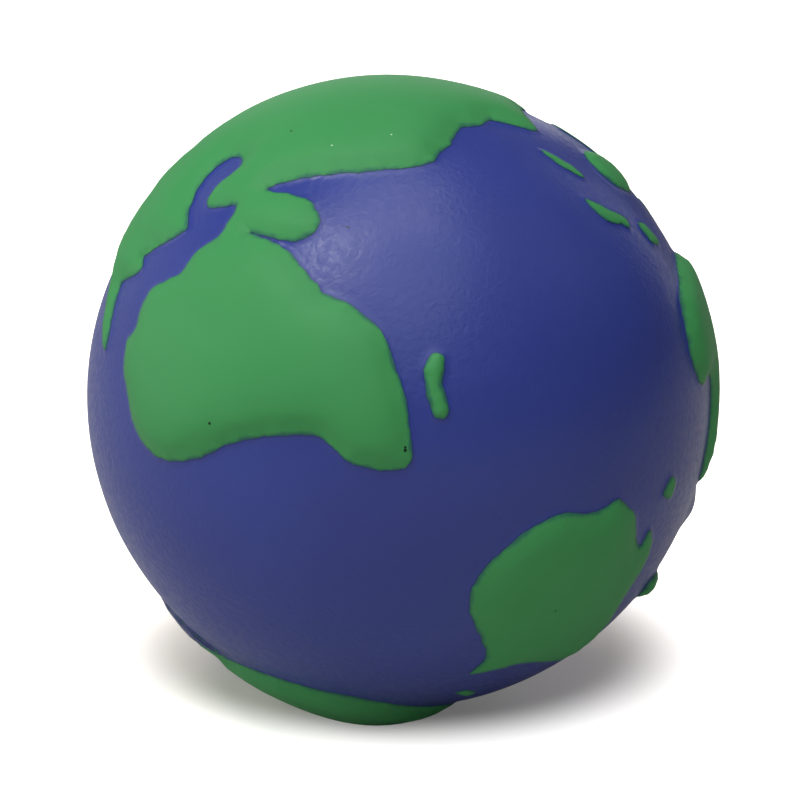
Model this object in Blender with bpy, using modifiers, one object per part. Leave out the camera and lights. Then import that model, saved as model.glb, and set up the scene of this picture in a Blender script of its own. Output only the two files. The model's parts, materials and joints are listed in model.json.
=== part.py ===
"""A globe stress ball: a ball of soft foam with a tough skin, blue for the sea, and raised green lands.

The frame is in metres with +Z up. The origin is the middle of the small flat that the ball stands on, straight
below its centre. The globe lies tilted, so its poles are not above and below its centre.
The lower half is the root. The upper half rides on one vertical slide, which stands for the squeeze of the foam.
"""

import math

import bmesh
import bpy
from mathutils import Matrix, Vector

# Driving dimensions, in metres.
SEA_RADIUS = 0.035  # outside of the blue skin
LAND_RELIEF = 0.0015  # how far the lands stand out from the sea
SKIN_THICKNESS = 0.0012  # the tough skin that forms against the mould
FOOT_RADIUS = 0.005  # the flat that the ball stands on, in the land that lies undermost
CLEARANCE = 0.0003  # kept between two pieces that touch on the real ball

# How the globe lies, in degrees: the place that is straight below its centre, and the plan heading of its north.
FOOT_LONGITUDE = -88
FOOT_LATITUDE = -37
NORTH_HEADING = 140

# How finely the round shapes are faceted.
FACETS_AROUND = 48
FACETS_PER_ARC = 12  # from the mould line to a pole of a skin half or of the core
LAND_CELL = 0.003  # side of a square of a land's face
COAST_STEPS = 2  # straight pieces between two points of a coast

# Sizes that follow.
LAND_RADIUS = SEA_RADIUS + LAND_RELIEF
LAND_BOTTOM_RADIUS = SEA_RADIUS + CLEARANCE
LAND_THICKNESS = LAND_RELIEF - CLEARANCE
SKIN_INSIDE_RADIUS = SEA_RADIUS - SKIN_THICKNESS
CORE_RADIUS = SKIN_INSIDE_RADIUS - CLEARANCE
CENTRE_HEIGHT = math.sqrt(LAND_RADIUS**2 - FOOT_RADIUS**2)
BALL_CENTRE = Vector((0, 0, CENTRE_HEIGHT))

# The lands. Each coast is a closed loop of (longitude, latitude) in degrees, as it is drawn on this ball,
# where the geography is simplified and a little out of place. The first group rides with the upper half of the
# ball and the second with the lower half, by where the middle of each land is.
UPPER_LANDS = {
    "africa_and_eurasia": [
        # North coast of Africa, from the isthmus at the Red Sea to the west.
        (35, 27), (32, 27), (28, 28), (23, 27), (17, 30), (12, 30), (8, 27), (4, 27),
        # West coast of Africa and the Gulf of Guinea.
        (0, 23), (-1, 20), (-3, 16), (-4, 13), (-4, 8), (-2, 4), (1, 1), (5, -2), (10, -4), (15, -7),
        (20, -11), (24, -15), (25, -18), (25, -22), (27, -26), (29, -28), (32, -30), (35, -29),
        # East coast of Africa up to the Red Sea.
        (38, -25), (41, -21), (43, -16), (45, -11), (45, -7), (44, -2), (42, 2), (42, 5),
        (42, 9), (42, 13), (41, 17), (39, 22),
        # Arabia and the Persian Gulf.
        (42, 17), (44, 14), (47, 13), (50, 14), (51, 17), (51, 20), (49, 24), (47, 28),
        # South coast of Asia to the Malay point.
        (53, 25), (62, 18), (65, 16), (70, 13), (74, 12), (76, 13), (80, 14), (86, 17), (90, 16),
        (94, 17), (97, 15), (100, 13), (103, 12), (107, 17), (112, 21), (117, 22),
        # East coast of Asia, with Korea and Kamchatka.
        (122, 28), (122, 35), (127, 34), (130, 41), (137, 45), (141, 54), (150, 59), (157, 52),
        (163, 57), (172, 61), (184, 66),
        # North coast, from the far east back to Norway.
        (172, 70), (155, 72), (135, 73), (112, 76), (92, 75), (72, 72), (56, 69), (42, 67),
        (30, 70), (21, 65),
        # West coast of Europe, Iberia and the north shore of the Mediterranean.
        (14, 60), (7, 57), (2, 53), (0, 47), (-3, 41), (-5, 38), (-6, 34), (-5, 32), (-2, 34), (2, 38),
        (6, 41), (12, 38), (15, 38), (16, 40), (23, 37), (29, 35),
        # The inlet of the Black Sea.
        (30.5, 38), (33, 41), (37, 44), (42.5, 45.5), (47, 44.5), (48.8, 41.5), (46.5, 39), (41, 39), (37, 38),
        (35.5, 35.5), (37, 33), (40, 30.5), (39.5, 29),
    ],
    "sumatra": [(97, 6), (98, 6), (101, 2), (102, -1), (101, -1), (98, 2)],
    "java": [(97, -6), (99, -7), (102, -9), (106, -11), (105, -13), (103, -12), (99, -11), (97, -8)],
    "borneo": [(110.5, 5), (114, 6.5), (119, 6), (121, 3), (121, -1), (118, -3.5), (113, -3.5), (110, -1), (109.3, 2)],
    "sulawesi": [(110, -12), (113, -12), (116, -15), (113, -16), (111, -15)],
    "new_guinea": [
        (131, -1), (136, -3), (141, -3), (147, -7), (150, -11), (145, -9), (139, -9), (134, -5),
    ],
    "philippines": [(121, 18), (124, 14), (127, 8), (125, 6), (122, 10), (119, 15)],
    "japan": [(131, 30), (136, 32), (141, 36), (145, 43), (142, 45), (139, 39), (133, 35)],
    "iceland": [(-24, 63), (-17, 63), (-14, 65), (-19, 67), (-25, 66)],
    "greenland": [
        (-44, 60), (-36, 64), (-24, 68), (-19, 73), (-17, 79), (-30, 83), (-55, 81), (-66, 77),
        (-56, 71), (-52, 65),
    ],
}
LOWER_LANDS = {
    "madagascar": [(50, -18), (47, -19), (45, -22), (43, -26), (44, -28), (46, -27), (48, -23), (51, -20)],
    "australia": [
        (120, -21), (115, -27), (115, -32), (116, -37), (121, -41), (126, -41), (131, -38), (137, -37.5),
        (141.5, -40), (143.5, -44), (146.5, -49), (150.5, -53.5), (156, -51), (156, -45), (154, -40),
        (155, -34), (156, -27), (151, -20), (145, -12), (142, -18), (137, -14), (130, -14), (124, -17),
    ],
    "new_zealand": [(168, -39), (172, -41), (174, -46), (172, -51), (167, -50), (165, -44)],
    "southern_island": [(109, -59), (114, -60), (113, -63), (106, -62)],
    "pacific_island": [(-178, -66), (-170, -67), (-169, -70), (-176, -71.5), (176, -70.5), (176, -67.5)],
    "antarctica": [
        # Coast that faces Africa and the Indian Ocean, to the peninsula.
        (78, -60), (70, -60), (63, -59), (56, -56), (50, -55), (43, -54), (35, -54), (27, -54), (19, -55),
        (13, -57), (5, -61), (-8, -66), (-18, -67), (-28, -65),
        # Coast that faces the Pacific, past the pole, and the bay south of the southern island.
        (-30, -70), (-33, -75), (-65, -79), (-100, -79), (-170, -84), (140, -83), (124, -78), (119, -74),
        (112, -71), (105, -69), (103, -70), (100, -72), (93, -70), (88, -65), (84, -63),
    ],
    "scotia_island": [(-48, -62), (-47, -64), (-56, -65), (-57, -63)],
    "south_america": [
        # East coast, from the southern tip to the north.
        (-73, -56), (-61, -53), (-50, -49), (-44, -43), (-43, -37), (-43, -31), (-45, -24), (-51, -15),
        (-49, -9), (-52, 0), (-61, 7), (-71, 10),
        # West coast, drawn far out, so that the ball stands on this land.
        (-79, 5), (-84, -5), (-87, -14), (-91, -22), (-97, -29), (-100, -36), (-97, -43), (-90, -49),
        (-81, -54),
    ],
    "north_america": [
        # East coast from Panama, with the Gulf of Mexico, Florida and Hudson Bay.
        (-79, 12), (-84, 15), (-88, 20), (-95, 19), (-98, 26), (-92, 30), (-84, 30), (-81, 26), (-79, 31),
        (-75, 38), (-67, 44), (-61, 48), (-57, 54), (-66, 60), (-77, 62), (-80, 54), (-88, 57), (-92, 64),
        # North coast to Alaska.
        (-84, 70), (-100, 72), (-125, 71), (-150, 72), (-168, 67), (-163, 59), (-150, 60),
        # West coast back to Panama.
        (-134, 56), (-125, 47), (-124, 39), (-116, 30), (-107, 22), (-97, 14), (-88, 11), (-81, 8),
    ],
    "baffin_island": [(-64, 64), (-66, 69), (-78, 74), (-84, 73), (-74, 67)],
    "cuba": [(-85, 23), (-79, 24), (-73, 21), (-79, 21)],
}


def clear_scene():
    """Removes every object, so that only the ball is left."""
    for item in list(bpy.data.objects):
        bpy.data.objects.remove(item, do_unlink=True)


def new_collection(name):
    collection = bpy.data.collections.new(name)
    bpy.context.scene.collection.children.link(collection)
    return collection


def make_material(name, colour, roughness):
    material = bpy.data.materials.new(name)
    material.use_nodes = True
    shader = material.node_tree.nodes["Principled BSDF"]
    shader.inputs["Base Color"].default_value = (*colour, 1)
    shader.inputs["Roughness"].default_value = roughness
    shader.inputs["Metallic"].default_value = 0
    return material


def make_object(name, mesh, collection, parent=None):
    item = bpy.data.objects.new(name, mesh)
    collection.objects.link(item)
    item.parent = parent
    return item


def finish_piece(piece, material):
    piece.data.materials.clear()
    piece.data.materials.append(material)
    piece.data.shade_smooth()
    piece.data.set_sharp_from_angle(angle=math.radians(40))


def evaluated_mesh(item):
    """The object's mesh with its modifiers applied, or a curve's solid with its loose caps welded on."""
    bpy.context.view_layer.update()
    graph = bpy.context.evaluated_depsgraph_get()
    mesh = bpy.data.meshes.new_from_object(item.evaluated_get(graph))
    shape = bmesh.new()
    shape.from_mesh(mesh)
    bmesh.ops.remove_doubles(shape, verts=shape.verts, dist=0.000001)
    shape.to_mesh(mesh)
    shape.free()
    return mesh


def arc_points(radius, start, end):
    """Points of an arc about the ball's centre in the XZ plane, by angles from straight up, in radians."""
    points = []
    for step in range(FACETS_PER_ARC + 1):
        angle = start + (end - start) * step / FACETS_PER_ARC
        points.append((radius * math.sin(angle), radius * math.cos(angle)))
    return points


def turned_piece(name, profile, collection, parent, material):
    """A profile of (x, z) about the ball's centre, turned round the vertical axis."""
    mesh = bpy.data.meshes.new(name)
    edges = [(index, index + 1) for index in range(len(profile) - 1)]
    mesh.from_pydata([(x, 0, z) for x, z in profile], edges, [])
    piece = make_object(name, mesh, collection, parent)
    screw = piece.modifiers.new("turn", "SCREW")
    screw.axis = "Z"
    screw.steps = FACETS_AROUND
    screw.render_steps = FACETS_AROUND
    screw.use_merge_vertices = True
    screw.merge_threshold = 0.00001
    screw.use_smooth_shade = True
    piece.data.materials.append(material)
    return piece


def make_skin_half(name, upper, collection, parent, material):
    """Half of the blue skin: a bowl of even thickness, whose rim stops just short of the mould line."""
    rim = CLEARANCE / 2
    outer_edge = math.acos(rim / SEA_RADIUS)
    inner_edge = math.acos(rim / SKIN_INSIDE_RADIUS)
    outer = arc_points(SEA_RADIUS, 0, outer_edge)
    inner = arc_points(SKIN_INSIDE_RADIUS, inner_edge, 0)
    profile = outer + inner
    if not upper:
        profile = [(x, -z) for x, z in reversed(profile)]
    return turned_piece(name, profile, collection, parent, material)


def make_core(collection, parent, material):
    """The soft foam inside, one whole ball."""
    return turned_piece("foam_core", arc_points(CORE_RADIUS, 0, math.pi), collection, parent, material)


def globe_direction(longitude, latitude):
    """Unit vector of a place, with north along Z and longitude 0 along X."""
    east_turn = math.radians(longitude)
    lift = math.radians(latitude)
    return Vector((
        math.cos(lift) * math.cos(east_turn),
        math.cos(lift) * math.sin(east_turn),
        math.sin(lift),
    ))


def globe_to_part():
    """Turns the globe so that the foot's place is straight below and north has its plan heading."""
    up = -globe_direction(FOOT_LONGITUDE, FOOT_LATITUDE)
    north = globe_direction(0, 90)
    level_north = (north - up * north.dot(up)).normalized()
    from_globe = Matrix((level_north, up.cross(level_north), up))
    heading = Matrix.Rotation(math.radians(NORTH_HEADING), 3, "Z")
    return heading @ from_globe


def smooth_loop(points):
    """A closed loop through the points with COAST_STEPS straight pieces between two of them (Catmull-Rom)."""
    loop = []
    count = len(points)
    for index in range(count):
        before, start = points[index - 1], points[index]
        end, after = points[(index + 1) % count], points[(index + 2) % count]
        for step in range(COAST_STEPS):
            t = step / COAST_STEPS
            loop.append(
                start
                + (end - before) * (t / 2)
                + (before * 2 - start * 5 + end * 4 - after) * (t * t / 2)
                + (start * 3 - before - end * 3 + after) * (t * t * t / 2)
            )
    return loop


def flat_coast(directions, axes):
    """The coast laid flat about the land's middle, with true distances from it along the sea's surface."""
    east, north, outward = axes
    flat = []
    for direction in directions:
        sideways = Vector((direction.dot(east), direction.dot(north)))
        angle = math.atan2(sideways.length, direction.dot(outward))
        flat.append(sideways.normalized() * angle * SEA_RADIUS)
    return flat


def make_prism(name, loop, collection):
    """The coast as a flat outline, made taller than the land is thick, so that it can cut the slab."""
    curve = bpy.data.curves.new(name, "CURVE")
    curve.dimensions = "2D"
    curve.fill_mode = "BOTH"
    curve.extrude = LAND_THICKNESS * 2
    spline = curve.splines.new("POLY")
    spline.points.add(len(loop) - 1)
    spline.use_cyclic_u = True
    for point, place in zip(spline.points, loop):
        point.co = (place.x, place.y, 0, 1)
    outline = make_object(name, curve, collection)
    prism = make_object(name + "_solid", evaluated_mesh(outline), collection)
    bpy.data.objects.remove(outline)
    shape = bmesh.new()
    shape.from_mesh(prism.data)
    bmesh.ops.recalc_face_normals(shape, faces=shape.faces)
    shape.to_mesh(prism.data)
    shape.free()
    prism.hide_render = True
    prism.display_type = "WIRE"
    return prism


def make_slab(name, loop, collection):
    """A sheet of square cells as thick as the land, a cell larger all round than its coast."""
    reach = max(point.length for point in loop) + LAND_CELL
    cells = math.ceil(2 * reach / LAND_CELL)
    shape = bmesh.new()
    bmesh.ops.create_grid(shape, x_segments=cells, y_segments=cells, size=cells * LAND_CELL / 2)
    mesh = bpy.data.meshes.new(name)
    shape.to_mesh(mesh)
    shape.free()
    slab = make_object(name, mesh, collection)
    thicken = slab.modifiers.new("thicken", "SOLIDIFY")
    thicken.thickness = LAND_THICKNESS
    thicken.offset = 1
    return slab


def wrap_on_sea(point):
    """A point of the flat land, in the land's own axes, carried to its place over the round sea."""
    distance = math.hypot(point.x, point.y)
    angle = distance / SEA_RADIUS
    radius = LAND_BOTTOM_RADIUS + point.z
    spread = radius * math.sin(angle) / distance if distance > 0 else 0
    return Vector((point.x * spread, point.y * spread, radius * math.cos(angle)))


def make_land(name, places, turn, collection, cutters, parent, material):
    """A raised land: its coast cuts a slab of cells, and the slab is then bent round the ball."""
    directions = [turn @ globe_direction(*place) for place in places]
    outward = sum(directions, Vector()).normalized()
    east = Vector((0, 0, 1)).cross(outward).normalized()
    north = outward.cross(east)
    loop = smooth_loop(flat_coast(directions, (east, north, outward)))
    slab = make_slab(name + "_slab", loop, cutters)
    prism = make_prism(name + "_coast", loop, cutters)
    cut = slab.modifiers.new("cut", "BOOLEAN")
    cut.operation = "INTERSECT"
    cut.solver = "EXACT"
    cut.object = prism
    mesh = evaluated_mesh(slab)
    mesh.name = name
    bpy.data.objects.remove(slab)
    bpy.data.objects.remove(prism)
    for vertex in mesh.vertices:
        vertex.co = wrap_on_sea(vertex.co)
    land = make_object(name, mesh, collection, parent)
    land.matrix_basis = Matrix((east, north, outward)).transposed().to_4x4()
    finish_piece(land, material)
    return land


def cut_foot(land, cutters):
    """Takes off what would reach below the floor, which leaves the flat that the ball stands on."""
    shape = bmesh.new()
    bmesh.ops.create_cube(shape, size=2 * LAND_RADIUS)
    mesh = bpy.data.meshes.new("floor")
    shape.to_mesh(mesh)
    shape.free()
    floor = make_object("floor_cutter", mesh, cutters)
    floor.location.z = -LAND_RADIUS
    floor.hide_render = True
    floor.display_type = "WIRE"
    cut = land.modifiers.new("foot", "BOOLEAN")
    cut.operation = "DIFFERENCE"
    cut.solver = "EXACT"
    cut.object = floor


def make_half(name, collection):
    """An empty at the ball's centre, which carries the pieces of one half."""
    half = make_object(name, None, collection)
    half.location = BALL_CENTRE
    return half


def main():
    clear_scene()
    ball = new_collection("stress_ball")
    cutters = new_collection("cutters")
    sea_paint = make_material("sea_blue_paint", (0.035, 0.05, 0.27), 0.45)
    land_paint = make_material("land_green_paint", (0.06, 0.34, 0.1), 0.6)
    foam = make_material("soft_foam", (0.72, 0.66, 0.5), 0.95)
    lower_half = make_half("lower_half", ball)
    upper_half = make_half("upper_half", ball)
    make_core(ball, lower_half, foam)
    make_skin_half("skin_lower", False, ball, lower_half, sea_paint)
    make_skin_half("skin_upper", True, ball, upper_half, sea_paint)
    turn = globe_to_part()
    for half, lands in ((lower_half, LOWER_LANDS), (upper_half, UPPER_LANDS)):
        for name, places in lands.items():
            land = make_land(name, places, turn, ball, cutters, half, land_paint)
            if name == "south_america":
                cut_foot(land, cutters)


main()
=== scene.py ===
"""A soft foam ball painted as a globe: sea skin, raised lands and the foam inside, in a white studio."""

import json
import logging
import math
from dataclasses import dataclass, field
from enum import Enum

import bmesh
import bpy
import numpy as np
from mathutils import Matrix, Vector, geometry, kdtree, noise

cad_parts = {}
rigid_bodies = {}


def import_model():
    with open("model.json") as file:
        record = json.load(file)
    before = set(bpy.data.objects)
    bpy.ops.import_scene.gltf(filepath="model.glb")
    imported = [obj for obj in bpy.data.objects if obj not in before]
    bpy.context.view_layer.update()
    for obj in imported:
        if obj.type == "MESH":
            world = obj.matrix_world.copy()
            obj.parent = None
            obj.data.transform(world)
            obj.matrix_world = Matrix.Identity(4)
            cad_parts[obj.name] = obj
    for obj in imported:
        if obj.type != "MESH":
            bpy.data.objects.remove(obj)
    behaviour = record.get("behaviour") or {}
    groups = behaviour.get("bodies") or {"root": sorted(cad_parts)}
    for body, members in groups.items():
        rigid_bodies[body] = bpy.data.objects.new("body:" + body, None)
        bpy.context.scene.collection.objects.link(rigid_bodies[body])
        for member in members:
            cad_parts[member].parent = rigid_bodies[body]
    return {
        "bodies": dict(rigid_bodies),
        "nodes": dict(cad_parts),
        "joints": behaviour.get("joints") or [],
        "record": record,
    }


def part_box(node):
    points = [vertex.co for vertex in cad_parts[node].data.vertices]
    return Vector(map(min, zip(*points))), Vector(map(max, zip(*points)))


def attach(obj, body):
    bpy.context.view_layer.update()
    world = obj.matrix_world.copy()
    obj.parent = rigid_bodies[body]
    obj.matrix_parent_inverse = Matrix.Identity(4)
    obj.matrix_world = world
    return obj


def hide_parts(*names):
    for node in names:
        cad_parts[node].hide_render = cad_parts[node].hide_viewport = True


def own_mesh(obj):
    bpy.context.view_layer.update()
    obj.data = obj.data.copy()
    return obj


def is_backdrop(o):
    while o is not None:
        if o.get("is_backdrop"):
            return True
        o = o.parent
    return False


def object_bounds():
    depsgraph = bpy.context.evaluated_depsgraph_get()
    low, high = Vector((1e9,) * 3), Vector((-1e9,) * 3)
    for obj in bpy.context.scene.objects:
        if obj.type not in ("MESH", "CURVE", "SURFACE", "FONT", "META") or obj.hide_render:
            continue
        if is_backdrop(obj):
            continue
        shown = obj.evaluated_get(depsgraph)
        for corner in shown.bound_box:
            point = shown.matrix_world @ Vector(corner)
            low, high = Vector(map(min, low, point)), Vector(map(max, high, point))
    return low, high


MM = 0.001
BALL_MM = 36.0  # the ball's radius, near enough to size a mark
LOG = logging.getLogger("globe_ball")

LOWER_BODY = "lower_half"
UPPER_BODY = "upper_half"

COAST_ATTRIBUTE = "coast_mm"  # signed distance to the nearest coast, positive on land
PLACE_ATTRIBUTE = "place_mm"  # where a point is when the ball isn't squeezed
OPEN_SEA = -9.0  # the coast_mm of what has no coast near it

Colour = tuple[float, float, float, float]
Socket = bpy.types.NodeSocket
Tree = bpy.types.NodeTree


class Slot(Enum):
    """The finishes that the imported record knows."""

    SEA = "sea_paint"
    LAND = "land_paint"
    FOAM = "soft_foam"


def linear(code: str) -> Colour:
    """Turn an sRGB hex code into a linear colour.

    Args:
        code: six hex digits, such as "35408F".

    Returns:
        Red, green, blue and alpha, linear.
    """
    parts = [int(code[at : at + 2], 16) / 255 for at in (0, 2, 4)]
    red, green, blue = [p / 12.92 if p <= 0.04045 else ((p + 0.055) / 1.055) ** 2.4 for p in parts]
    return red, green, blue, 1.0


def add_node(tree: Tree, kind: str, settings: dict | None = None, out: int | str = 0) -> Socket | None:
    """Add one node with its settings.

    Args:
        tree: the node tree it goes into.
        kind: Blender's name for the node.
        settings: by property name, input name or input number, a value or the output socket that feeds it.
        out: the name or number of the output to give back.

    Returns:
        That output socket, or None if the node has no outputs.
    """
    node = tree.nodes.new(kind)
    for name, value in (settings or {}).items():
        if isinstance(value, Socket):
            tree.links.new(value, node.inputs[name])
        elif isinstance(name, str) and name in node.bl_rna.properties:
            setattr(node, name, value)
        else:
            node.inputs[name].default_value = value
    return node.outputs[out] if node.outputs else None


def mixed(tree: Tree, share: Socket, settings: dict) -> Socket:
    """Mix two colours.

    Args:
        tree: the node tree.
        share: the share of the second colour.
        settings: the first colour by the number 6 and the second by 7, as values or sockets.

    Returns:
        The mixed colour's socket.
    """
    return add_node(tree, "ShaderNodeMix", {"data_type": "RGBA", **settings, 0: share}, out=2)


def attribute_of(tree: Tree, name: str, socket: str) -> Socket:
    """Read one of the mesh's attributes as a "Vector" or as a value ("Fac")."""
    return add_node(tree, "ShaderNodeAttribute", {"attribute_name": name}, out=socket)


def new_material(name: str) -> tuple[bpy.types.Material, Tree]:
    """Make an empty node material.

    Args:
        name: the material's name.

    Returns:
        The material and its node tree.
    """
    material = bpy.data.materials.new(name)
    material.use_nodes = True
    material.node_tree.nodes.clear()
    return material, material.node_tree


def smooth_step(value: np.ndarray) -> np.ndarray:
    """Ease from 0 to 1 with no slope at either end."""
    held = np.clip(value, 0.0, 1.0)
    return held * held * (3 - 2 * held)


def unit_rows(vectors: np.ndarray) -> np.ndarray:
    """Scale each row to length 1."""
    return vectors / np.linalg.norm(vectors, axis=1, keepdims=True)


@dataclass(frozen=True)
class BallFrame:
    """The ball's main measures, in metres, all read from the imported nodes."""

    centre: np.ndarray
    sea_radius: float
    land_radius: float
    core_radius: float
    height: float
    keep: float

    @classmethod
    def from_frame(cls, frame: dict, height: float) -> "BallFrame":
        """Read the measures.

        Args:
            frame: what the frame's load returned.
            height: the whole ball's height at rest.

        Returns:
            The measures.
        """
        low, high = (np.array(corner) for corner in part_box("foam_core"))
        skin_low, skin_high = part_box("skin_upper")
        centre = (low + high) / 2
        lands = [np.array([v.co for v in frame["nodes"][name].data.vertices]) for name in ALL_LANDS]
        reach = max(np.linalg.norm(points - centre, axis=1).max() for points in lands)
        travel = max(abs(limit) for limit in frame["joints"][0]["range_m"])
        return cls(
            centre=centre,
            sea_radius=(skin_high.x - skin_low.x) / 2,
            land_radius=float(reach),
            core_radius=float(high[2] - low[2]) / 2,
            height=height,
            keep=1 - travel / height,
        )


@dataclass(frozen=True)
class Swell:
    """A soft rise or hollow in the moulded surface.

    Attributes:
        toward: its direction from the ball's centre.
        reach: how far it spreads, in mm.
        rise: its height in mm, negative for a hollow.
    """

    toward: tuple[float, float, float]
    reach: float
    rise: float

    def nearness(self, directions: np.ndarray, radius_mm: float) -> np.ndarray:
        """Say how near each direction is to the swell's middle.

        Args:
            directions: unit vectors.
            radius_mm: the ball's radius in mm.

        Returns:
            1 at its middle, falling softly to 0 outside its reach.
        """
        middle = np.array(self.toward) / np.linalg.norm(self.toward)
        away = np.arccos(np.clip(directions @ middle, -1, 1)) * radius_mm
        return np.exp(-((away / self.reach) ** 2))


@dataclass(frozen=True)
class LandStyle:
    """How one land stands out of the sea.

    Attributes:
        relief: its height over the sea, in mm.
        shoulder: how far from the coast it reaches that height, in mm.
        swells: where its height differs.
        overrun: where, and how far in mm, the sea's paint runs up over the land's edge.
    """

    relief: float = 1.5
    shoulder: float = 3.5
    swells: tuple[Swell, ...] = ()
    overrun: tuple[Swell, ...] = ()


WIDE = LandStyle()
ISLAND = LandStyle(relief=0.8, shoulder=1.4)
ISLET = LandStyle(relief=0.45, shoulder=0.9)
LOW_ISLAND = LandStyle(relief=0.3, shoulder=1.2)

UPPER_LANDS: dict[str, LandStyle] = {
    "africa_and_eurasia": LandStyle(
        swells=(Swell((0.276, 0.249, 0.928), 13.0, -0.65), Swell((-0.35, -0.55, 0.76), 4.0, -0.75)),
    ),
    "sumatra": ISLET,
    "java": ISLET,
    "borneo": ISLAND,
    "sulawesi": ISLET,
    "new_guinea": LOW_ISLAND,
    "philippines": LOW_ISLAND,
    "japan": ISLAND,
    "iceland": ISLAND,
    "greenland": WIDE,
}
LOWER_LANDS: dict[str, LandStyle] = {
    "madagascar": ISLAND,
    "australia": LandStyle(relief=1.35, shoulder=2.2),
    "new_zealand": LandStyle(relief=0.45, shoulder=0.9),
    "southern_island": ISLET,
    "pacific_island": LandStyle(relief=1.1, shoulder=1.0),
    "antarctica": LandStyle(relief=1.1),
    "scotia_island": ISLET,
    "south_america": LandStyle(
        swells=(
            Swell((-0.12, -0.26, -0.96), 8.0, 0.8),
            Swell((-0.75, -0.17, -0.64), 7.0, -0.9),
            Swell((0.22, -0.25, -0.94), 5.0, -0.9),
        ),
        overrun=(Swell((-0.79, -0.16, -0.6), 7.0, 5.5),),
    ),
    "north_america": WIDE,
    "baffin_island": ISLAND,
    "cuba": ISLET,
}
ALL_LANDS: dict[str, LandStyle] = {**UPPER_LANDS, **LOWER_LANDS}


@dataclass
class Coast:
    """One land's coast as a dense closed line on the sea's surface.

    Attributes:
        name: the land's node.
        line: points in metres from the ball's centre.
        inland: at each point, the direction along the surface that leads onto the land.
    """

    name: str
    line: np.ndarray
    inland: np.ndarray

    SPACING = 0.12 * MM
    LEAST_POINTS = 24
    POINT_GROUP = 3  # the count of points is a multiple of this
    CURVE_STEPS = 16
    WELD = 0.002 * MM
    UNDERSIDE_DEPTH = 0.2 * MM
    CHUNK = 2000
    RAGGED = 0.16 * MM  # how far the edge of the paint mask wanders
    RAGGED_LENGTH = 1.1 * MM
    FINE_RAGGED = 2.7  # times as many waves in the finer wander, which is half as high

    @classmethod
    def from_node(cls, node: bpy.types.Object, ball: BallFrame) -> "Coast":
        """Find the line where a packed land's underside meets its sides, and make it smooth.

        Args:
            node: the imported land.
            ball: the ball's measures.

        Returns:
            The coast.
        """
        corners = cls.underside_loop(node, ball)
        line = cls.evenly_spaced(cls.rounded(corners), cls.SPACING)
        line = unit_rows(line) * ball.sea_radius
        inland = cls.inland_of(line)
        wander = np.array([noise.noise(Vector(p / cls.RAGGED_LENGTH)) for p in line])
        finer = np.array([noise.noise(Vector(p / cls.RAGGED_LENGTH * cls.FINE_RAGGED)) for p in line])
        line = unit_rows(line + inland * ((wander + finer * 0.5) * cls.RAGGED)[:, None]) * ball.sea_radius
        return cls(node.name, line, cls.inland_of(line))

    @staticmethod
    def inland_of(line: np.ndarray) -> np.ndarray:
        """Give the direction onto the land at each point of a line that runs anticlockwise."""
        ahead = np.roll(line, -1, axis=0) - np.roll(line, 1, axis=0)
        return unit_rows(np.cross(line, ahead))

    @classmethod
    def underside_loop(cls, node: bpy.types.Object, ball: BallFrame) -> np.ndarray:
        """Chain the edges between the underside and the sides, anticlockwise seen from outside.

        Args:
            node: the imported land.
            ball: the ball's measures.

        Returns:
            The corners in order, in metres from the ball's centre.
        """
        raw = np.array([v.co for v in node.data.vertices]) - ball.centre
        keys = np.round(raw / cls.WELD).astype(int)
        _, first, index = np.unique(keys, axis=0, return_index=True, return_inverse=True)
        points = raw[first]
        index = index.reshape(-1)
        radius = np.linalg.norm(points, axis=1)
        middle = (radius.min() + ball.land_radius) / 2
        under = radius < min(middle, radius.min() + cls.UNDERSIDE_DEPTH)
        after: dict[int, int] = {}
        side_edges: set[tuple[int, int]] = set()
        for polygon in node.data.polygons:
            loop = [int(index[v]) for v in polygon.vertices]
            if not all(under[v] for v in loop):
                side_edges.update(zip(loop, loop[1:] + loop[:1]))
        for polygon in node.data.polygons:
            loop = [int(index[v]) for v in polygon.vertices]
            if all(under[v] for v in loop):
                for start, end in zip(loop, loop[1:] + loop[:1]):
                    if (end, start) in side_edges:
                        after[end] = start
        start = next(iter(after))
        order = [start]
        while after[order[-1]] != start:
            order.append(after[order[-1]])
        return points[order]

    @classmethod
    def rounded(cls, corners: np.ndarray) -> np.ndarray:
        """Run a smooth closed curve through the corners.

        Args:
            corners: the corners in order.

        Returns:
            The curve's points (Catmull-Rom).
        """
        before, after = np.roll(corners, 1, axis=0), np.roll(corners, -1, axis=0)
        later = np.roll(corners, -2, axis=0)
        steps = np.linspace(0, 1, cls.CURVE_STEPS, endpoint=False)[None, :, None]
        a, b, c, d = (part[:, None, :] for part in (before, corners, after, later))
        curve = (
            b
            + (c - a) * (steps / 2)
            + (a * 2 - b * 5 + c * 4 - d) * (steps**2 / 2)
            + (b * 3 - a - c * 3 + d) * (steps**3 / 2)
        )
        return curve.reshape(-1, 3)

    @classmethod
    def evenly_spaced(cls, line: np.ndarray, spacing: float) -> np.ndarray:
        """Lay points at an even spacing along a closed line.

        Args:
            line: the line's points.
            spacing: the distance between two new points.

        Returns:
            The new points.
        """
        closed = np.vstack([line, line[:1]])
        run = np.concatenate([[0], np.cumsum(np.linalg.norm(np.diff(closed, axis=0), axis=1))])
        count = max(cls.LEAST_POINTS, round(run[-1] / spacing / cls.POINT_GROUP) * cls.POINT_GROUP)
        at = np.linspace(0, run[-1], count, endpoint=False)
        return np.column_stack([np.interp(at, run, closed[:, k]) for k in range(3)])

    def laid_flat(self, points: np.ndarray) -> np.ndarray:
        """Lay points flat about the land's middle, with true directions and distances from it.

        Args:
            points: in metres from the ball's centre.

        Returns:
            Two coordinates a point, as angles.
        """
        local = unit_rows(points) @ self.axes().T
        angle = np.arctan2(np.hypot(local[:, 0], local[:, 1]), local[:, 2])
        return unit_rows(local[:, :2] + 1e-12) * angle[:, None]

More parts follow.
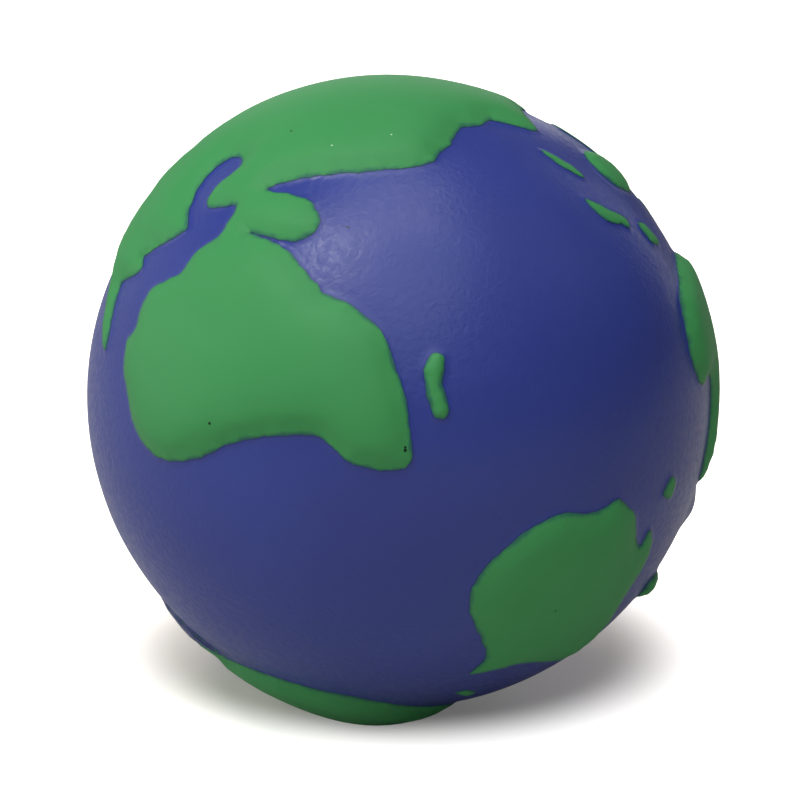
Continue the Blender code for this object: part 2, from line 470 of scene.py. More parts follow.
    def axes(self) -> np.ndarray:
        """Find the land's own directions.

        Returns:
            Its east, north and outward directions as rows.
        """
        outward = self.line.sum(axis=0)
        outward /= np.linalg.norm(outward)
        east = np.cross((0.0, 0.0, 1.0), outward)
        east /= np.linalg.norm(east)
        return np.array([east, np.cross(outward, east), outward])

    def holds(self, points: np.ndarray) -> np.ndarray:
        """Say which points lie on the land.

        Args:
            points: in metres from the ball's centre.

        Returns:
            True for each point inside the coast.
        """
        flat, line = self.laid_flat(points), self.laid_flat(self.line[::2])
        x, y = line[:, 0], line[:, 1]
        later_x, later_y = np.roll(x, -1), np.roll(y, -1)
        slope = (later_x - x) / np.where(later_y == y, 1e-12, later_y - y)
        inside = np.zeros(len(flat), bool)
        for start in range(0, len(flat), self.CHUNK):
            across = flat[start : start + self.CHUNK, 0, None]
            along = flat[start : start + self.CHUNK, 1, None]
            crossed = ((y > along) != (later_y > along)) & (across < x + (along - y) * slope)
            inside[start : start + self.CHUNK] = crossed.sum(axis=1) % 2 == 1
        return inside


class Shoreline:
    """All the coasts together, to ask how far a point is from the nearest one."""

    def __init__(self, coasts: list[Coast]) -> None:
        """Index every coast's points.

        Args:
            coasts: the coasts.
        """
        self.coasts = {coast.name: coast for coast in coasts}
        self.names = [coast.name for coast in coasts]
        self.points = np.vstack([coast.line for coast in coasts])
        self.inland = np.vstack([coast.inland for coast in coasts])
        self.owner = np.concatenate([np.full(len(c.line), k) for k, c in enumerate(coasts)])
        self.tree = kdtree.KDTree(len(self.points))
        for k, point in enumerate(self.points):
            self.tree.insert(point, k)
        self.tree.balance()

    def measure(self, points: np.ndarray) -> tuple[np.ndarray, np.ndarray]:
        """Measure points that lie on the sea's surface.

        Args:
            points: in metres from the ball's centre.

        Returns:
            The distance to the nearest coast in mm, positive on land, and that coast's number.
        """
        found = [self.tree.find(point) for point in points]
        index = np.array([hit[1] for hit in found])
        reach = np.array([hit[2] for hit in found])
        owner = self.owner[index]
        across = np.einsum("ij,ij->i", points - self.points[index], self.inland[index])
        inside = np.zeros(len(points), bool)
        for number, name in enumerate(self.names):
            mine = owner == number
            inside[mine] = self.coasts[name].holds(points[mine])
        signed = np.where(reach < Coast.SPACING, across, np.where(inside, reach, -reach))
        return signed / MM, owner


# A low fold in the sea's surface, below the end of the eastern land's tail.
BALL_SWELLS: tuple[Swell, ...] = (Swell((0.93, -0.04, -0.355), 2.4, 0.8),)


class Relief:
    """The shape of the moulded surface: how high the sea and the lands stand at each place."""

    FOOT = 0.14  # mm that the sea's paint climbs up a land's foot
    FOOT_WIDTH = 0.8  # mm over which it climbs
    PAINT = 0.05  # mm that the land's paint stands over the sea's at the coast
    STEEPNESS = 0.42  # mm of rise per mm where the land starts
    LEAST_SHOULDER = 0.3  # mm
    SHOULDER_SHARE = 0.9  # a narrow land's shoulder, as a share of its half width
    FULL_WIDTH = 1.1  # mm of half width that a land needs to reach its whole relief
    UNEVEN = 0.055  # mm, the soft unevenness of moulded foam
    BROAD_WAVES = 3.1
    SMALL_WAVES = 9.0
    SMALL_SHARE = 0.35
    UNDER_START = 0.3  # mm inland, where the sea skin starts to fall back under the land
    UNDER_WIDTH = 0.9  # mm over which it falls
    UNDER_MOST = 1.3  # where the climb ends under the land, against FOOT_WIDTH
    OVER = 0.16  # mm that the sea's paint stands over the land's where it runs up over its edge
    OVER_START = 0.3  # mm
    OVER_EDGE = 0.5  # mm

    def __init__(self, ball: BallFrame, shoreline: Shoreline) -> None:
        """Keep what the heights are worked out from.

        Args:
            ball: the ball's measures.
            shoreline: the coasts.
        """
        self.ball = ball
        self.shoreline = shoreline

    def overrun_nearness(self, directions: np.ndarray) -> np.ndarray:
        """Give how near each direction is to a place where the sea's paint overruns a land, from 0 to 1."""
        parts = [part for style in ALL_LANDS.values() for part in style.overrun]
        return sum(part.nearness(directions, self.ball.sea_radius / MM) for part in parts)

    def swelling(self, parts: tuple[Swell, ...], directions: np.ndarray) -> np.ndarray:
        """Add up some swells at each direction, in mm."""
        nothing = np.zeros(len(directions))
        return sum((p.rise * p.nearness(directions, self.ball.sea_radius / MM) for p in parts), nothing)

    def unevenness(self, directions: np.ndarray) -> np.ndarray:
        """Give the soft unevenness of the whole ball at each direction, in mm.

        Args:
            directions: unit vectors.

        Returns:
            Heights in mm.
        """
        broad = np.array([noise.noise(Vector(d * self.BROAD_WAVES)) for d in directions])
        small = np.array([noise.noise(Vector(d * self.SMALL_WAVES + 5.0)) for d in directions])
        return (broad + self.SMALL_SHARE * small) * self.UNEVEN + self.swelling(BALL_SWELLS, directions)

    def sea(self, directions: np.ndarray, coast: np.ndarray, owner: np.ndarray) -> np.ndarray:
        """Give the sea skin's height over the plain sea radius, in mm.

        It climbs to each land's foot, goes on a little under the land's edge and falls back under the land.
        Where its paint runs up over a land's edge, it follows the land's own shape.

        Args:
            directions: unit vectors.
            coast: signed distances to the coast in mm.
            owner: the number of the nearest coast.

        Returns:
            Heights in mm.
        """
        climb = np.clip((coast + self.FOOT_WIDTH) / self.FOOT_WIDTH, 0.0, self.UNDER_MOST) ** 2 * self.FOOT
        under = 1 - smooth_step((coast - self.UNDER_START) / self.UNDER_WIDTH)
        height = climb * under + self.unevenness(directions)
        for number, name in enumerate(self.shoreline.names):
            style = ALL_LANDS[name]
            mine = (owner == number) & (coast > 0)
            if style.overrun and mine.any():
                reach = self.swelling(style.overrun, directions[mine])
                over = smooth_step((reach - coast[mine]) / self.OVER_EDGE + 0.5)
                over *= smooth_step(coast[mine] / self.OVER_START)
                raised = self.land(directions[mine], coast[mine], style) + self.OVER
                height[mine] += (raised - height[mine]) * over
        return height

    def land(self, directions: np.ndarray, coast: np.ndarray, style: LandStyle) -> np.ndarray:
        """Give a land's height over the plain sea radius, in mm.

        Args:
            directions: unit vectors.
            coast: distances to the coast in mm.
            style: the land's relief and shoulder.

        Returns:
            Heights in mm.
        """
        start = self.FOOT + self.PAINT
        half_width = float(coast.max())
        shoulder = min(style.shoulder, max(self.LEAST_SHOULDER, self.SHOULDER_SHARE * half_width))
        relief = style.relief + self.swelling(style.swells, directions)
        top = start + (relief - start) * min(1.0, half_width / self.FULL_WIDTH)
        t = np.clip(coast / shoulder, 0.0, 1.0)
        rise = (t**3 - 2 * t**2 + t) * self.STEEPNESS * shoulder + (3 * t**2 - 2 * t**3) * (top - start)
        return start + rise + self.unevenness(directions)


@dataclass(frozen=True)
class Mark:
    """One small blemish in the paint: its direction from the ball's centre and its radius in mm."""

    toward: tuple[float, float, float]
    radius: float


def marked(tree: Tree, place: Socket, marks: tuple[Mark, ...]) -> Socket:
    """Make a mask of small blemishes.

    Args:
        tree: the material's node tree.
        place: the place_mm vector.
        marks: the blemishes, at least one.

    Returns:
        A value of 1 on a blemish and 0 elsewhere.
    """
    direction = add_node(tree, "ShaderNodeVectorMath", {"operation": "NORMALIZE", 0: place})
    mask = None
    for mark in marks:
        toward = Vector(mark.toward).normalized()
        away = add_node(
            tree, "ShaderNodeVectorMath", {"operation": "DISTANCE", 1: toward, 0: direction}, out="Value"
        )
        spot = add_node(
            tree, "ShaderNodeMath", {"operation": "LESS_THAN", 1: mark.radius / BALL_MM, 0: away}
        )
        if mask is not None:
            spot = add_node(tree, "ShaderNodeMath", {"operation": "MAXIMUM", 0: mask, 1: spot})
        mask = spot
    return mask


@dataclass(frozen=True)
class SprayedSeaPaint:
    """Flexible polyurethane paint, sprayed on moulded foam: a satin deep blue.

    It gives soft, mottled highlights over a fine orange-peel grain, and a pale sheen at the outline. Its
    colour is darkened at each land's foot, a painted shade in the crease.
    """

    colour: str = "34428F"
    deep: str = "303A81"
    # the dark blue of the painted shade at each land's foot, also the colour of the scratches
    foot_shade_and_scratch: str = "1A2A55"
    roughness: float = 0.35
    ior: float = 1.4
    shine: float = 0.42
    peel_mm: float = 0.7  # spacing of the orange peel
    grain_mm: float = 0.28  # spacing of the fine grain, drawn coarser than the real 0.1 so that it shows
    scratch: tuple[Mark, ...] = (
        Mark((-0.156, -0.683, 0.714), 0.13),
        Mark((-0.151, -0.685, 0.713), 0.13),
        Mark((-0.147, -0.688, 0.710), 0.13),
    )

    def material(self) -> bpy.types.Material:
        """Build the node material.

        Returns:
            The material.
        """
        material, tree = new_material("sea_paint_sprayed_satin")
        place = attribute_of(tree, PLACE_ATTRIBUTE, "Vector")
        coast = attribute_of(tree, COAST_ATTRIBUTE, "Fac")
        clouds = add_node(tree, "ShaderNodeTexNoise", {"Scale": 1 / 14.0, "Detail": 3.0, "Vector": place})
        tone = mixed(tree, clouds, {6: linear(self.deep), 7: linear(self.colour)})
        # Painted shade: the sea darkens over the last 0.22 mm towards each coast, for the crease at each
        # land's foot.
        near = add_node(
            tree,
            "ShaderNodeMapRange",
            {
                "From Min": -0.22,
                "From Max": 0.0,
                "To Min": 0.0,
                "To Max": 0.55,
                "interpolation_type": "SMOOTHSTEP",
                "Value": coast,
            },
        )
        body = mixed(tree, near, {7: linear(self.foot_shade_and_scratch), 6: tone})
        scuffed = mixed(tree, marked(tree, place, self.scratch), {7: linear(self.foot_shade_and_scratch), 6: body})
        peel = add_node(
            tree,
            "ShaderNodeTexNoise",
            {"Scale": 1 / self.peel_mm, "Detail": 2.0, "Distortion": 0.6, "Vector": place},
        )
        grain = add_node(
            tree, "ShaderNodeTexNoise", {"Scale": 1 / self.grain_mm, "Detail": 1.0, "Vector": place}
        )
        coarse = add_node(tree, "ShaderNodeBump", {"Strength": 1.0, "Distance": 0.05 * MM, "Height": peel})
        fine = add_node(
            tree,
            "ShaderNodeBump",
            {"Strength": 0.25, "Distance": 0.015 * MM, "Height": grain, "Normal": coarse},
        )
        gloss = add_node(
            tree,
            "ShaderNodeMapRange",
            {
                "From Min": 0.3,
                "From Max": 0.7,
                "To Min": self.roughness - 0.07,
                "To Max": self.roughness + 0.07,
                "Value": peel,
            },
        )
        shader = add_node(
            tree,
            "ShaderNodeBsdfPrincipled",
            {
                "IOR": self.ior,
                "Specular IOR Level": self.shine,
                "Metallic": 0.0,
                "Base Color": scuffed,
                "Roughness": gloss,
                "Normal": fine,
            },
        )
        add_node(tree, "ShaderNodeOutputMaterial", {"Surface": shader})
        return material


@dataclass(frozen=True)
class SprayedLandPaint:
    """Flexible polyurethane paint, sprayed through a mask over the blue: a soft matte green.

    It gives an even, slightly powdery green that darkens where the coat thins out towards the coast.
    """

    colour: str = "3A8B4F"
    pale: str = "419153"
    thin: str = "2B5F58"
    roughness: float = 0.55
    ior: float = 1.37
    shine: float = 0.3
    grain_mm: float = 0.45
    pore_mm: float = 7.0  # mean spacing of the pinholes that the foam leaves in the paint
    pits: tuple[Mark, ...] = (Mark((0.022, -0.995, 0.100), 0.19), Mark((0.022, -0.994, 0.109), 0.14))
    dust: tuple[Mark, ...] = (
        Mark((0.043, -0.981, 0.186), 0.12),
        Mark((-0.195, -0.430, 0.882), 0.11),
        Mark((-0.019, -0.415, 0.910), 0.10),
    )

    def material(self) -> bpy.types.Material:
        """Build the node material.

        Returns:
            The material.
        """
        material, tree = new_material("land_paint_sprayed_matte")
        place = attribute_of(tree, PLACE_ATTRIBUTE, "Vector")
        coast = attribute_of(tree, COAST_ATTRIBUTE, "Fac")
        clouds = add_node(tree, "ShaderNodeTexNoise", {"Scale": 1 / 9.0, "Detail": 3.0, "Vector": place})
        tone = mixed(tree, clouds, {6: linear(self.colour), 7: linear(self.pale)})
        drift = add_node(tree, "ShaderNodeTexNoise", {"Scale": 1 / 2.2, "Detail": 2.0, "Vector": place})
        reach = add_node(tree, "ShaderNodeMath", {"operation": "MULTIPLY_ADD", 1: 1.0, 0: drift, 2: coast})
        edge = add_node(
            tree,
            "ShaderNodeMapRange",
            {
                "From Min": 0.45,
                "From Max": 0.95,
                "To Min": 0.8,
                "To Max": 0.0,
                "interpolation_type": "SMOOTHSTEP",
                "Value": reach,
            },
        )
        body = mixed(tree, edge, {7: linear(self.thin), 6: tone})
        cells = add_node(
            tree, "ShaderNodeTexVoronoi", {"Scale": 1 / self.pore_mm, "Randomness": 1.0, "Vector": place}
        )
        pore = add_node(
            tree,
            "ShaderNodeMapRange",
            {"From Min": 0.018, "From Max": 0.03, "To Min": 1.0, "To Max": 0.0, "Value": cells},
        )
        hole = add_node(
            tree, "ShaderNodeMath", {"operation": "MAXIMUM", 0: pore, 1: marked(tree, place, self.pits)}
        )
        # Pinholes and pits are drawn near black: painted shade inside each hole, over the real dent that the
        # bump below makes.
        with_pinhole_shade = mixed(tree, hole, {7: linear("0E2A1C"), 6: body})
        dusted = mixed(tree, marked(tree, place, self.dust), {7: linear("C9D8C4"), 6: with_pinhole_shade})
        grain = add_node(
            tree, "ShaderNodeTexNoise", {"Scale": 1 / self.grain_mm, "Detail": 3.0, "Vector": place}
        )
        height = add_node(tree, "ShaderNodeMath", {"operation": "SUBTRACT", 0: grain, 1: hole})
        bump = add_node(tree, "ShaderNodeBump", {"Strength": 0.3, "Distance": 0.03 * MM, "Height": height})
        shader = add_node(
            tree,
            "ShaderNodeBsdfPrincipled",
            {
                "IOR": self.ior,
                "Specular IOR Level": self.shine,
                "Metallic": 0.0,
                "Roughness": self.roughness,
                "Base Color": dusted,
                "Normal": bump,
            },
        )
        add_node(tree, "ShaderNodeOutputMaterial", {"Surface": shader})
        return material


@dataclass(frozen=True)
class OpenCellFoam:
    """Flexible polyurethane foam, moulded and left bare: cream, matte and full of small cells, with painted
    shade in their hollows.
    """

    wall: str = "E3D8B8"
    # the darker colour of the cell hollows, painted shade
    hollow_shade: str = "B7A679"
    roughness: float = 0.9
    ior: float = 1.45
    cell_mm: float = 0.9

    def material(self) -> bpy.types.Material:
        """Build the node material.

        Returns:
            The material.
        """
        material, tree = new_material("polyurethane_foam_open_cell")
        place = attribute_of(tree, PLACE_ATTRIBUTE, "Vector")
        cells = add_node(tree, "ShaderNodeTexVoronoi", {"Scale": 1 / self.cell_mm, "Vector": place})
        # The cell hollows take the darker colour: painted shade in each hollow.
        tone = mixed(tree, cells, {6: linear(self.hollow_shade), 7: linear(self.wall)})
        bump = add_node(tree, "ShaderNodeBump", {"Strength": 0.8, "Distance": 0.2 * MM, "Height": cells})
        shader = add_node(
            tree,
            "ShaderNodeBsdfPrincipled",
            {"IOR": self.ior, "Roughness": self.roughness, "Base Color": tone, "Normal": bump},
        )
        add_node(tree, "ShaderNodeOutputMaterial", {"Surface": shader})
        return material


@dataclass
class SoftPiece:
    """What every piece of the ball has: a node to stand for, a body to ride on and a finish."""

    ball: BallFrame
    relief: Relief
    name: str
    nodes: tuple[str, ...]
    body: str
    slot: Slot
    fill: float

    def place(self, points: np.ndarray, faces: list, coast: np.ndarray) -> bpy.types.Object:
        """Make the object from its points.

        Args:
            points: in metres, in the frame.
            faces: corner numbers of each face.
            coast: each point's distance to the coast in mm.

        Returns:
            The object, smooth shaded, with its two attributes.
        """
        mesh = bpy.data.meshes.new(self.name)
        mesh.from_pydata(points.tolist(), [], faces)
        mesh.shade_smooth()
        distance = mesh.attributes.new(COAST_ATTRIBUTE, "FLOAT", "POINT")
        distance.data.foreach_set("value", coast.astype(np.float32))
        place = mesh.attributes.new(PLACE_ATTRIBUTE, "FLOAT_VECTOR", "POINT")
        place.data.foreach_set("vector", ((points - self.ball.centre) / MM).astype(np.float32).ravel())
        piece = bpy.data.objects.new(self.name, mesh)
        bpy.context.scene.collection.objects.link(piece)
        return piece

    def join_in(self, piece: bpy.types.Object, material: bpy.types.Material) -> None:
        """Give a finished piece its paint and its body, and hide the nodes it stands for.

        Args:
            piece: the finished object.
            material: its paint.
        """
        piece.data.materials.append(material)
        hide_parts(*self.nodes)
        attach(piece, self.body)
        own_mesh(piece)
        LOG.info("%s: %d faces, rides on %s", self.name, len(piece.data.polygons), self.body)


def icosphere(subdivisions: int) -> bmesh.types.BMesh:
    """Make a round mesh of even triangles.

    Args:
        subdivisions: how often an icosahedron's faces are divided, counting the icosahedron as 1.

    Returns:
        The mesh, with radius 1.
    """
    shape = bmesh.new()
    bmesh.ops.create_icosphere(shape, subdivisions=subdivisions, radius=1)
    return shape


def rows_of(shape: bmesh.types.BMesh) -> np.ndarray:
    """Read a mesh's points as rows."""
    return np.array([vertex.co[:] for vertex in shape.verts])


@dataclass
class SeaSkin(SoftPiece):
    """The blue skin all round the ball, with a small climb at the foot of each land, and its inner face."""

    BASE = 6
    INSIDE = 5
    REACHES = (3.4, 1.5)  # mm from a coast where the mesh is divided once, and once more
    OVERRUN_NEAR = 0.15  # the nearness to an overrun from which it is divided as well
    THICKNESS = 1.2 * MM

    def shell(self) -> bmesh.types.BMesh:
        """Make the outer face, finer near the coasts.

        Returns:
            The mesh, on the unit ball.
        """
        shape = icosphere(self.BASE)
        for reach in self.REACHES:
            rows = rows_of(shape)
            distance, _ = self.relief.shoreline.measure(rows * self.ball.sea_radius)
            overrun = self.relief.overrun_nearness(rows) > self.OVERRUN_NEAR
            close = (np.abs(distance) < reach) | overrun
            shape.verts.ensure_lookup_table()
            edges = [e for e in shape.edges if close[e.verts[0].index] or close[e.verts[1].index]]
            bmesh.ops.subdivide_edges(shape, edges=edges, cuts=1, use_grid_fill=True)
            wide = [f for f in shape.faces if len(f.verts) > 3]
            bmesh.ops.triangulate(shape, faces=wide)
            for vertex in shape.verts:
                vertex.co.normalize()
            shape.verts.index_update()
        return shape

    def build(self, material: bpy.types.Material) -> bpy.types.Object:
        """Build and dress the skin.

        Args:
            material: the sea's paint.

        Returns:
            The finished piece.
        """
        shape = self.shell()
        directions = rows_of(shape)
        faces = [[v.index for v in f.verts] for f in shape.faces]
        shape.free()
        coast, owner = self.relief.shoreline.measure(directions * self.ball.sea_radius)
        height = self.relief.sea(directions, coast, owner) * MM
        outer = directions * (self.ball.sea_radius + height)[:, None]
        inside = icosphere(self.INSIDE)
        inner = rows_of(inside) * (self.ball.sea_radius - self.THICKNESS)
        faces += [[v.index + len(outer) for v in reversed(f.verts)] for f in inside.faces]
        inside.free()
        points = np.vstack([outer, inner]) + self.ball.centre
        piece = self.place(points, faces, np.concatenate([coast, np.full(len(inner), OPEN_SEA)]))
        self.join_in(piece, material)
        return piece


@dataclass
class FoamCore(SoftPiece):
    """The soft foam under the skin, with its open cells pressed into the surface."""

    BASE = 7
    CELL = 1.6 * MM
    SUNK = 0.1  # mm that the highest cell wall lies under the core's solid
    DEPTH = 0.16  # mm

    def build(self, material: bpy.types.Material) -> bpy.types.Object:
        """Build and dress the foam.

        Args:
            material: bare foam.

        Returns:
            The finished piece.
        """
        shape = icosphere(self.BASE)
        directions = rows_of(shape)
        faces = [[v.index for v in f.verts] for f in shape.faces]
        shape.free()
        radius = self.ball.core_radius
        cells = np.array([noise.voronoi(Vector(d * (radius / self.CELL)))[0][0] for d in directions])
        sunk = (self.SUNK + self.DEPTH * (1 - np.clip(cells, 0, 1))) * MM
        points = directions * (radius - sunk)[:, None] + self.ball.centre
        piece = self.place(points, faces, np.full(len(points), OPEN_SEA))
        self.join_in(piece, material)
        return piece


@dataclass
class LandPatch(SoftPiece):
    """One raised land: a rounded plateau with its underside on the sea skin."""

    style: LandStyle = field(default_factory=LandStyle)

    RINGS = (0.15, 0.36, 0.64, 1.0, 1.45, 2.0, 2.7)  # mm from the coast
    SPARSE_FROM = 1.0  # mm from the coast where a ring has half as many points
    RING_KEPT = 0.96  # the least distance inland of a ring's point, against the ring's depth
    COAST_STEP = 3
    GRID = 6
    GRID_GAP = 0.55  # mm between the last ring and the even grid
    SPACE = 0.2  # the least distance between a ring's points, against its depth
    UNDERSIDE = 0.3  # mm over the sea
    EDGE_DROP = 0.16  # mm that the land's thin edge goes down into the sea's climb
    HELD = 0.12  # mm from the coast within which a height stays as it is
    RELAXED = 4

    def spread(self, coast: Coast) -> tuple[np.ndarray, int]:
        """Choose the points that the land's top is made of.

        Args:
            coast: the land's coast.

        Returns:
            Points on the sea's surface, the coast's first and in order, and how many are the coast's.
        """
        line, inland = coast.line[:: self.COAST_STEP], coast.inland[:: self.COAST_STEP]
        chosen = [line]
        for depth in self.RINGS:
            step = 1 if depth < self.SPARSE_FROM else 2
            ring = unit_rows(line[::step] + inland[::step] * depth * MM) * self.ball.sea_radius
            distance, _ = self.relief.shoreline.measure(ring)
            chosen.append(self.spaced(ring[distance > depth * self.RING_KEPT], self.SPACE * depth * MM))
        grid = icosphere(self.GRID)
        rows = rows_of(grid) * self.ball.sea_radius
        grid.free()
        distance, owner = self.relief.shoreline.measure(rows)
        own = self.relief.shoreline.names.index(coast.name)
        chosen.append(rows[(owner == own) & (distance > self.RINGS[-1] + self.GRID_GAP)])
        return np.vstack(chosen), len(line)

    @staticmethod
    def spaced(points: np.ndarray, gap: float) -> np.ndarray:
        """Thin out points that crowd.

        Args:
            points: the points, in order.
            gap: the least distance between two that stay.

        Returns:
            The points without each one that lies closer than the gap to an earlier one that stays.
        """
        tree = kdtree.KDTree(len(points))
        for k, point in enumerate(points):
            tree.insert(point, k)
        tree.balance()
        stays = np.ones(len(points), bool)
        for k, point in enumerate(points):
            stays[k] = not any(near < k and stays[near] for _, near, _ in tree.find_range(point, gap))
        return points[stays]

    def triangles(self, points: np.ndarray, rim: int) -> tuple[np.ndarray, np.ndarray]:
        """Join the points into triangles inside the coast.

        Args:
            points: points on the sea's surface, the coast's first.
            rim: how many of them are the coast's.

        Returns:
            The triangles' points on the sea's surface, and their corners.
        """
        coast = self.relief.shoreline.coasts[self.nodes[0]]
        flat = coast.laid_flat(points)
        edges = [(k, (k + 1) % rim) for k in range(rim)]
        made = geometry.delaunay_2d_cdt([Vector(p) for p in flat], edges, [], 1, 1e-6)
        laid = np.array([p[:] for p in made[0]])
        reach = np.linalg.norm(laid, axis=1, keepdims=True)
        round_again = np.hstack([laid / np.maximum(reach, 1e-9) * np.sin(reach), np.cos(reach)])
        return round_again @ coast.axes() * self.ball.sea_radius, np.array(made[2])

    def relaxed(self, height: np.ndarray, corners: np.ndarray, held: np.ndarray) -> np.ndarray:
        """Even out the heights between neighbours, so that no crease stays along a narrow land's middle.

        Args:
            height: each point's height.
            corners: the triangles.
            held: which points keep their height.

        Returns:
            The new heights.
        """
        pairs = np.vstack([corners[:, [0, 1]], corners[:, [1, 2]], corners[:, [2, 0]]])
        for _ in range(self.RELAXED):
            total, count = np.zeros(len(height)), np.zeros(len(height))
            np.add.at(total, pairs[:, 0], height[pairs[:, 1]])
            np.add.at(total, pairs[:, 1], height[pairs[:, 0]])
            np.add.at(count, pairs[:, 0], 1)
            np.add.at(count, pairs[:, 1], 1)
            height = np.where(held, height, (height + total / np.maximum(count, 1)) / 2)
        return height

    def build(self, material: bpy.types.Material) -> bpy.types.Object:
        """Build and dress the land.

        Args:
            material: the land's paint.

        Returns:
            The finished piece.
        """
        points, rim = self.spread(self.relief.shoreline.coasts[self.nodes[0]])
        sea_points, corners = self.triangles(points, rim)
        directions = unit_rows(sea_points)
        first, second, third = (sea_points[corners[:, k]] for k in range(3))
        flipped = np.einsum("ij,ij->i", np.cross(second - first, third - first), first) < 0
        corners[flipped] = corners[flipped][:, ::-1]
        directed = [tuple(map(int, pair)) for tri in corners for pair in zip(tri, np.roll(tri, -1))]
        known = set(directed)
        border = [pair for pair in directed if (pair[1], pair[0]) not in known]
        on_rim = np.zeros(len(directions), bool)
        on_rim[[pair[0] for pair in border]] = True
        distance, _ = self.relief.shoreline.measure(sea_points)
        distance = np.where(on_rim, 0.0, np.abs(distance))
        height = self.relief.land(directions, distance, self.style)
        height = self.relaxed(height, corners, on_rim | (distance < self.HELD))
        top = directions * (self.ball.sea_radius + height * MM)[:, None]
        level = height - self.EDGE_DROP
        level = np.where(on_rim, level, np.minimum(self.UNDERSIDE, level))
        under = directions * (self.ball.sea_radius + level * MM)[:, None]
        count = len(directions)
        faces = corners.tolist() + (corners[:, ::-1] + count).tolist()
        faces += [[b, a, a + count, b + count] for a, b in border]
        both = np.vstack([top, under]) + self.ball.centre
        both[:, 2] = np.maximum(both[:, 2], 0.0)
        piece = self.place(both, faces, np.concatenate([distance, distance]))
        rim_edges = {frozenset(pair) for pair in border}
        for edge in piece.data.edges:
            edge.use_edge_sharp = frozenset(edge.vertices) in rim_edges
        self.join_in(piece, material)
        return piece


@dataclass(frozen=True)
class Softbox:
    """One soft studio lamp, facing the ball.

    Attributes:
        name: what it does.
        around: its bearing in degrees, 0 at the camera's side and 90 at the right.
        up: its height in degrees over the ball's middle.
        away: its distance from the ball's middle in metres.
        width: its width in metres.
        depth: its other side in metres.
        watts: its power.
    """

    name: str
    around: float
    up: float
    away: float
    width: float
    depth: float
    watts: float


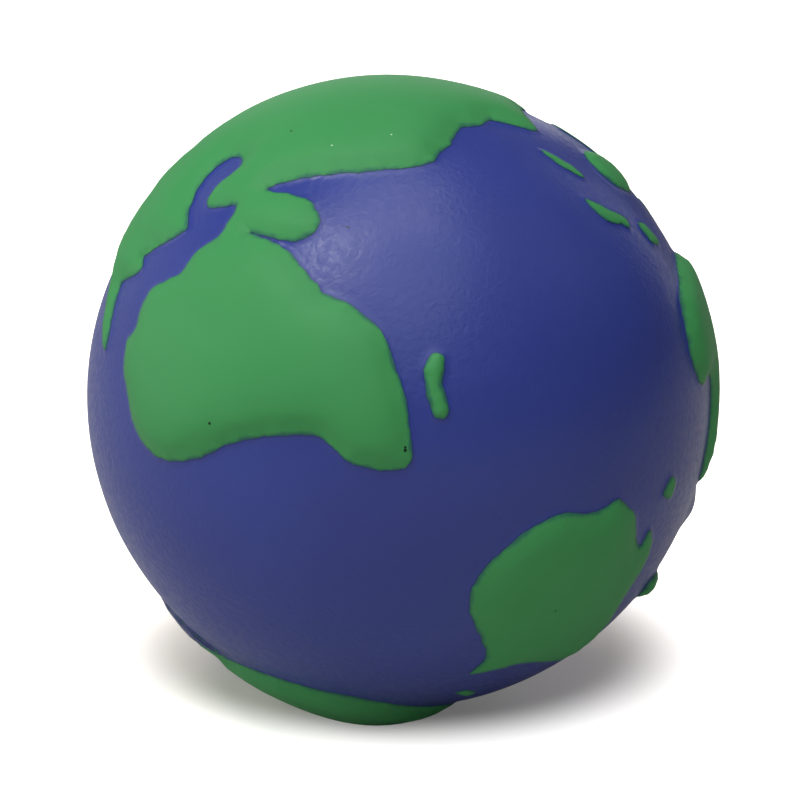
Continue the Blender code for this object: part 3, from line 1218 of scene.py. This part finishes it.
@dataclass
class Studio:
    """The pale floor, the soft lamps and the camera.

    Attributes:
        ball: the ball's measures.
        lamps: the soft lamps.
        floor_size: the floor's side in metres.
        floor_colour: the floor as the lamps' light finds it.
        floor_seen: the floor as the camera sees it.
        floor_glow: its glow to the camera under the ball, where it leaves a painted shadow. Away from the
            ball this painted glow grows to floor_glow_far.
        shadow_back: how far behind the foot the glow is least, the painted shadow's middle, in metres.
        shadow_edge: the distances from there between which the glow grows, the painted shadow's soft edge,
            in metres.
        room_strength: how strongly the room lights the ball. To the camera it is plain white.
    """

    ball: BallFrame
    lamps: tuple[Softbox, ...] = (
        Softbox("left_wall", -92, 12, 0.9, 0.5, 0.5, 2.35),
        Softbox("key_box", -52, 61, 0.8, 0.2, 0.24, 2.1),
        Softbox("top_box", 0, 88, 0.8, 0.4, 0.4, 1.77),
        Softbox("front_top_box", 0, 64, 0.8, 0.8, 0.5, 2.0),
        Softbox("front_box", 0, 40, 0.8, 0.5, 0.5, 1.2),
        Softbox("left_front_box", -45, 30, 0.9, 0.5, 0.5, 0.95),
        Softbox("back_box", 180, 15, 0.9, 0.5, 0.4, 0.8),
        Softbox("left_back_wall", -140, 12, 0.9, 0.6, 0.6, 0.6),
        Softbox("right_strip", 142, 14, 0.9, 0.12, 0.8, 0.39),
        Softbox("right_box", 90, 45, 0.8, 0.4, 0.4, 0.18),
    )
    floor_size: float = 6.0
    floor_colour: str = "CBC8C3"
    floor_seen: str = "F4EAE1"
    floor_glow: float = 0.12
    floor_glow_far: float = 0.9
    shadow_back: float = 0.02
    shadow_edge: tuple[float, float] = (0.025, 0.038)
    room_colour: str = "FFFFFF"
    room_strength: float = 0.01
    camera_distance: float = 0.49
    camera_elevation: float = 15.0
    lens: float = 195.4
    aim_shift: tuple[float, float, float] = (0.00023, 0.0, -0.00046)

    def floor(self) -> bpy.types.Object:
        """Lay the pale floor, which fades to white away from the ball, with a painted shadow under and
        behind it.

        Returns:
            The floor object.
        """
        shape = bmesh.new()
        bmesh.ops.create_grid(shape, x_segments=8, y_segments=8, size=self.floor_size / 2)
        mesh = bpy.data.meshes.new("studio_floor")
        shape.to_mesh(mesh)
        shape.free()
        floor = bpy.data.objects.new("studio_floor", mesh)
        bpy.context.scene.collection.objects.link(floor)
        material, tree = new_material("studio_floor_with_painted_shadow")
        seen = add_node(tree, "ShaderNodeLightPath", out="Is Camera Ray")
        tone = mixed(tree, seen, {6: linear(self.floor_colour), 7: linear(self.floor_seen)})
        # Painted shadow and painted light: the floor glows to the camera only, least in a patch around a
        # point behind the ball's foot and growing towards white away from it.
        place = add_node(tree, "ShaderNodeTexCoord", out="Object")
        away = add_node(
            tree,
            "ShaderNodeVectorMath",
            {"operation": "DISTANCE", 1: (0.0, self.shadow_back, 0.0), 0: place},
            out="Value",
        )
        painted_floor_light = add_node(
            tree,
            "ShaderNodeMapRange",
            {
                "From Min": self.shadow_edge[0],
                "From Max": self.shadow_edge[1],
                "To Min": self.floor_glow,
                "To Max": self.floor_glow_far,
                "interpolation_type": "SMOOTHSTEP",
                "Value": away,
            },
        )
        glow = add_node(tree, "ShaderNodeMath", {"operation": "MULTIPLY", 0: seen, 1: painted_floor_light})
        shader = add_node(
            tree,
            "ShaderNodeBsdfPrincipled",
            {
                "Roughness": 0.9,
                "IOR": 1.3,
                "Emission Color": linear("FFFFFF"),
                "Base Color": tone,
                "Emission Strength": glow,
            },
        )
        add_node(tree, "ShaderNodeOutputMaterial", {"Surface": shader})
        mesh.materials.append(material)
        floor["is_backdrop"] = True
        return floor

    def hang(self, box: Softbox) -> bpy.types.Object:
        """Hang one lamp, facing the ball.

        Args:
            box: the lamp.

        Returns:
            The light object.
        """
        light = bpy.data.lights.new(box.name, "AREA")
        light.shape = "RECTANGLE"
        light.size = box.width
        light.size_y = box.depth
        light.energy = box.watts
        lamp = bpy.data.objects.new(box.name, light)
        bpy.context.scene.collection.objects.link(lamp)
        around, up = math.radians(box.around), math.radians(box.up)
        toward = Vector((math.sin(around) * math.cos(up), -math.cos(around) * math.cos(up), math.sin(up)))
        place = Vector(self.ball.centre) + toward * box.away
        turn = toward.to_track_quat("Z", "Y")
        lamp.matrix_world = Matrix.Translation(place) @ turn.to_matrix().to_4x4()
        return lamp

    def room(self) -> None:
        """Fill the room with a little even light."""
        world = bpy.data.worlds.new("studio_room")
        world.use_nodes = True
        world.node_tree.nodes.clear()
        seen = add_node(world.node_tree, "ShaderNodeLightPath", out="Is Camera Ray")
        light = add_node(
            world.node_tree,
            "ShaderNodeMapRange",
            {"To Min": self.room_strength, "To Max": 1.0, "Value": seen},
        )
        sky = add_node(
            world.node_tree, "ShaderNodeBackground", {"Color": linear(self.room_colour), "Strength": light}
        )
        add_node(world.node_tree, "ShaderNodeOutputWorld", {"Surface": sky})
        bpy.context.scene.world = world

    def camera(self) -> bpy.types.Object:
        """Set up the camera, a long lens a little above the ball.

        Returns:
            The camera object.
        """
        data = bpy.data.cameras.new("studio_camera")
        data.lens = self.lens
        data.clip_start = 0.01
        camera = bpy.data.objects.new("studio_camera", data)
        bpy.context.scene.collection.objects.link(camera)
        tilt = math.radians(self.camera_elevation)
        back = Vector((0.0, -math.cos(tilt), math.sin(tilt)))
        aim = Vector(self.ball.centre) + Vector(self.aim_shift)
        place = aim + back * self.camera_distance
        camera.matrix_world = Matrix.Translation(place) @ back.to_track_quat("Z", "Y").to_matrix().to_4x4()
        bpy.context.scene.camera = camera
        return camera

    def set_up(self) -> None:
        """Set up the whole studio."""
        bpy.context.scene.view_settings.view_transform = "Standard"
        self.camera()
        self.floor()
        self.room()
        for box in self.lamps:
            self.hang(box)
            LOG.info("lamp %s: %.1f W", box.name, box.watts)


def main() -> None:
    """Build the ball's pieces in order, then the studio."""
    logging.basicConfig(level=logging.INFO, format="%(name)s: %(message)s")
    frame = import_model()
    cad_box = [list(corner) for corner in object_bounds()]
    ball = BallFrame.from_frame(frame, height=cad_box[1][2])
    shoreline = Shoreline([Coast.from_node(frame["nodes"][name], ball) for name in ALL_LANDS])
    relief = Relief(ball, shoreline)
    land_paint = SprayedLandPaint().material()
    FoamCore(ball, relief, "foam_core_cells", ("foam_core",), LOWER_BODY, Slot.FOAM, 1.0).build(
        OpenCellFoam().material()
    )
    SeaSkin(ball, relief, "sea_skin", ("skin_lower", "skin_upper"), LOWER_BODY, Slot.SEA, 1.0).build(
        SprayedSeaPaint().material()
    )
    for body, lands in ((UPPER_BODY, UPPER_LANDS), (LOWER_BODY, LOWER_LANDS)):
        for name, style in lands.items():
            LandPatch(ball, relief, name + "_land", (name,), body, Slot.LAND, 1.0, style).build(land_paint)
    Studio(ball).set_up()


if __name__ == "__main__":
    main()
